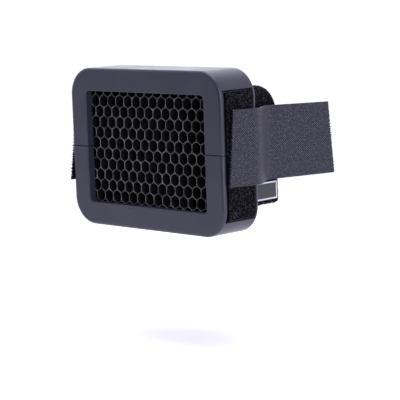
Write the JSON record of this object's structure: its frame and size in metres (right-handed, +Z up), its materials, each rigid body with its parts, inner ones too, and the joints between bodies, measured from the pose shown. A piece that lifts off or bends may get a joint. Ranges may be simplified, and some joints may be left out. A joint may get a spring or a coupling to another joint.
{
  "type": "honeycomb grid",
  "caption": "Rectangular moulded frame around a honeycomb of fused round tubes that narrows a camera flash's beam, carried on the flash head by a loop strap and two hook tabs.",
  "frame": {"origin": "middle of the frame's rear plane, where the flash head's front meets the grid", "axes": "+Y back along the flash head, +Z up, +X to the right of someone who looks at the grid's front, which faces -Y"},
  "size_m": [0.1146, 0.0982, 0.0826],
  "materials": {
    "frame_plastic": "dark grey moulded plastic, satin",
    "core_plastic": "thin-walled smoked plastic tubes fused together, cut ends paler",
    "loop_pile": "black brushed nylon loop pile",
    "hook_tape": "dark grey twill-woven nylon with hooks on its inner face",
    "strap_rubber": "black non-slip rubber, matt",
    "pad_glue": "pressure-sensitive adhesive film",
    "label_cloth": "woven label with a pale border line, no lettering"
  },
  "bodies": {
    "grid": {"upper_frame": "frame_plastic", "lower_frame": "frame_plastic", "core_row_01": "core_plastic", "core_row_02": "core_plastic", "core_row_03": "core_plastic", "core_row_04": "core_plastic", "core_row_05": "core_plastic", "core_row_06": "core_plastic", "core_row_07": "core_plastic", "core_row_08": "core_plastic", "core_row_09": "core_plastic", "core_row_10": "core_plastic", "core_row_11": "core_plastic", "core_row_12": "core_plastic", "right_loop_pad": "loop_pile", "left_loop_pad": "loop_pile", "right_pad_adhesive": "pad_glue", "left_pad_adhesive": "pad_glue", "right_tab_anchor": "hook_tape", "left_tab_anchor": "hook_tape"},
    "right_tab": {"right_tab_flap": "hook_tape"},
    "left_tab": {"left_tab_flap": "hook_tape"},
    "strap": {"strap_loop_tape": "loop_pile", "strap_lining": "strap_rubber", "strap_label": "label_cloth"},
    "strap_tail": {"strap_end": "loop_pile", "strap_hook_patch": "hook_tape"}
  },
  "joints": [
    {"name": "right_tab_peel", "type": "hinge", "parent": "grid", "child": "right_tab", "pos_m": [0.05637, 0.00115, 0], "axis": [0, 0, -1], "range_deg": [0, 110]},
    {"name": "left_tab_peel", "type": "hinge", "parent": "grid", "child": "left_tab", "pos_m": [-0.05637, 0.00115, 0], "axis": [0, 0, 1], "range_deg": [0, 110]},
    {"name": "strap_slide", "type": "slide", "parent": "grid", "child": "strap", "axis": [0, 1, 0], "range_m": [0, 0.075]},
    {"name": "strap_end_peel", "type": "hinge", "parent": "strap", "child": "strap_tail", "pos_m": [-0.02285, 0.0155, -0.03095], "axis": [0, 1, 0], "range_deg": [0, 100]}
  ]
}
